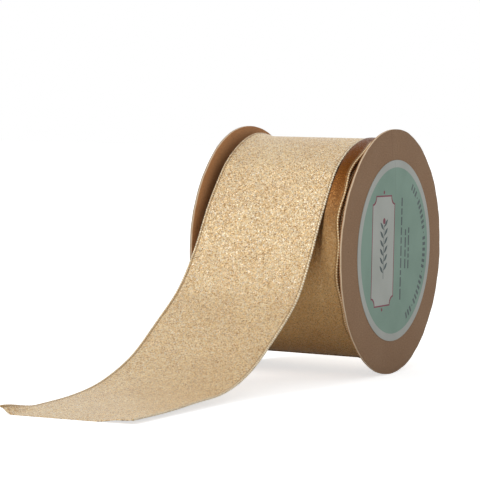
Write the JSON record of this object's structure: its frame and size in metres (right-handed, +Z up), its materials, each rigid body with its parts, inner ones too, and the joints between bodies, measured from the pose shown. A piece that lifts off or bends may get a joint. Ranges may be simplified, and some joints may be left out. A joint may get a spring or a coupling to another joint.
{
  "type": "ribbon spool",
  "caption": "Cardboard spool with two kraft flanges and a round label, wound with gold wire-edged ribbon whose free end runs over the roll and out along the table.",
  "frame": {"origin": "under the middle of the whole part, on the surface that the spool stands on", "axes": "+Z up, X along the spool's axis with the label facing +X, the ribbon's free end lying towards -Y"},
  "size_m": [0.0678, 0.2405, 0.1],
  "materials": {
    "kraft_liner": "matt brown kraft paper with fine fibres",
    "chipboard": "pale cut edge of grey board",
    "tube_paper": "spirally wound paper tube",
    "label_paper": "smooth printed paper, pale green field in an off-white ring",
    "gold_ribbon": "champagne gold metallic weave",
    "edge_wire": "thin gold-coloured craft wire",
    "glue": "milky hot-melt glue",
    "tape": "clear yellowish tape"
  },
  "bodies": {
    "free_ribbon": {"ribbon_tail": "gold_ribbon", "tail_left_edge_wire": "edge_wire", "tail_right_edge_wire": "edge_wire"},
    "spool": {"plain_side_outer_liner": "kraft_liner", "plain_side_board": "chipboard", "plain_side_inner_liner": "kraft_liner", "label_side_outer_liner": "kraft_liner", "label_side_board": "chipboard", "label_side_inner_liner": "kraft_liner", "core_tube": "tube_paper", "plain_side_glue_bead": "glue", "label_side_glue_bead": "glue", "round_label": "label_paper", "wound_ribbon": "gold_ribbon", "wound_left_edge_wire": "edge_wire", "wound_right_edge_wire": "edge_wire", "starting_tape": "tape"}
  },
  "joints": [
    {"name": "spool_spin", "type": "hinge", "parent": "free_ribbon", "child": "spool", "pos_m": [0, 0.07025, 0.05], "axis": [1, 0, 0], "continuous": true}
  ]
}
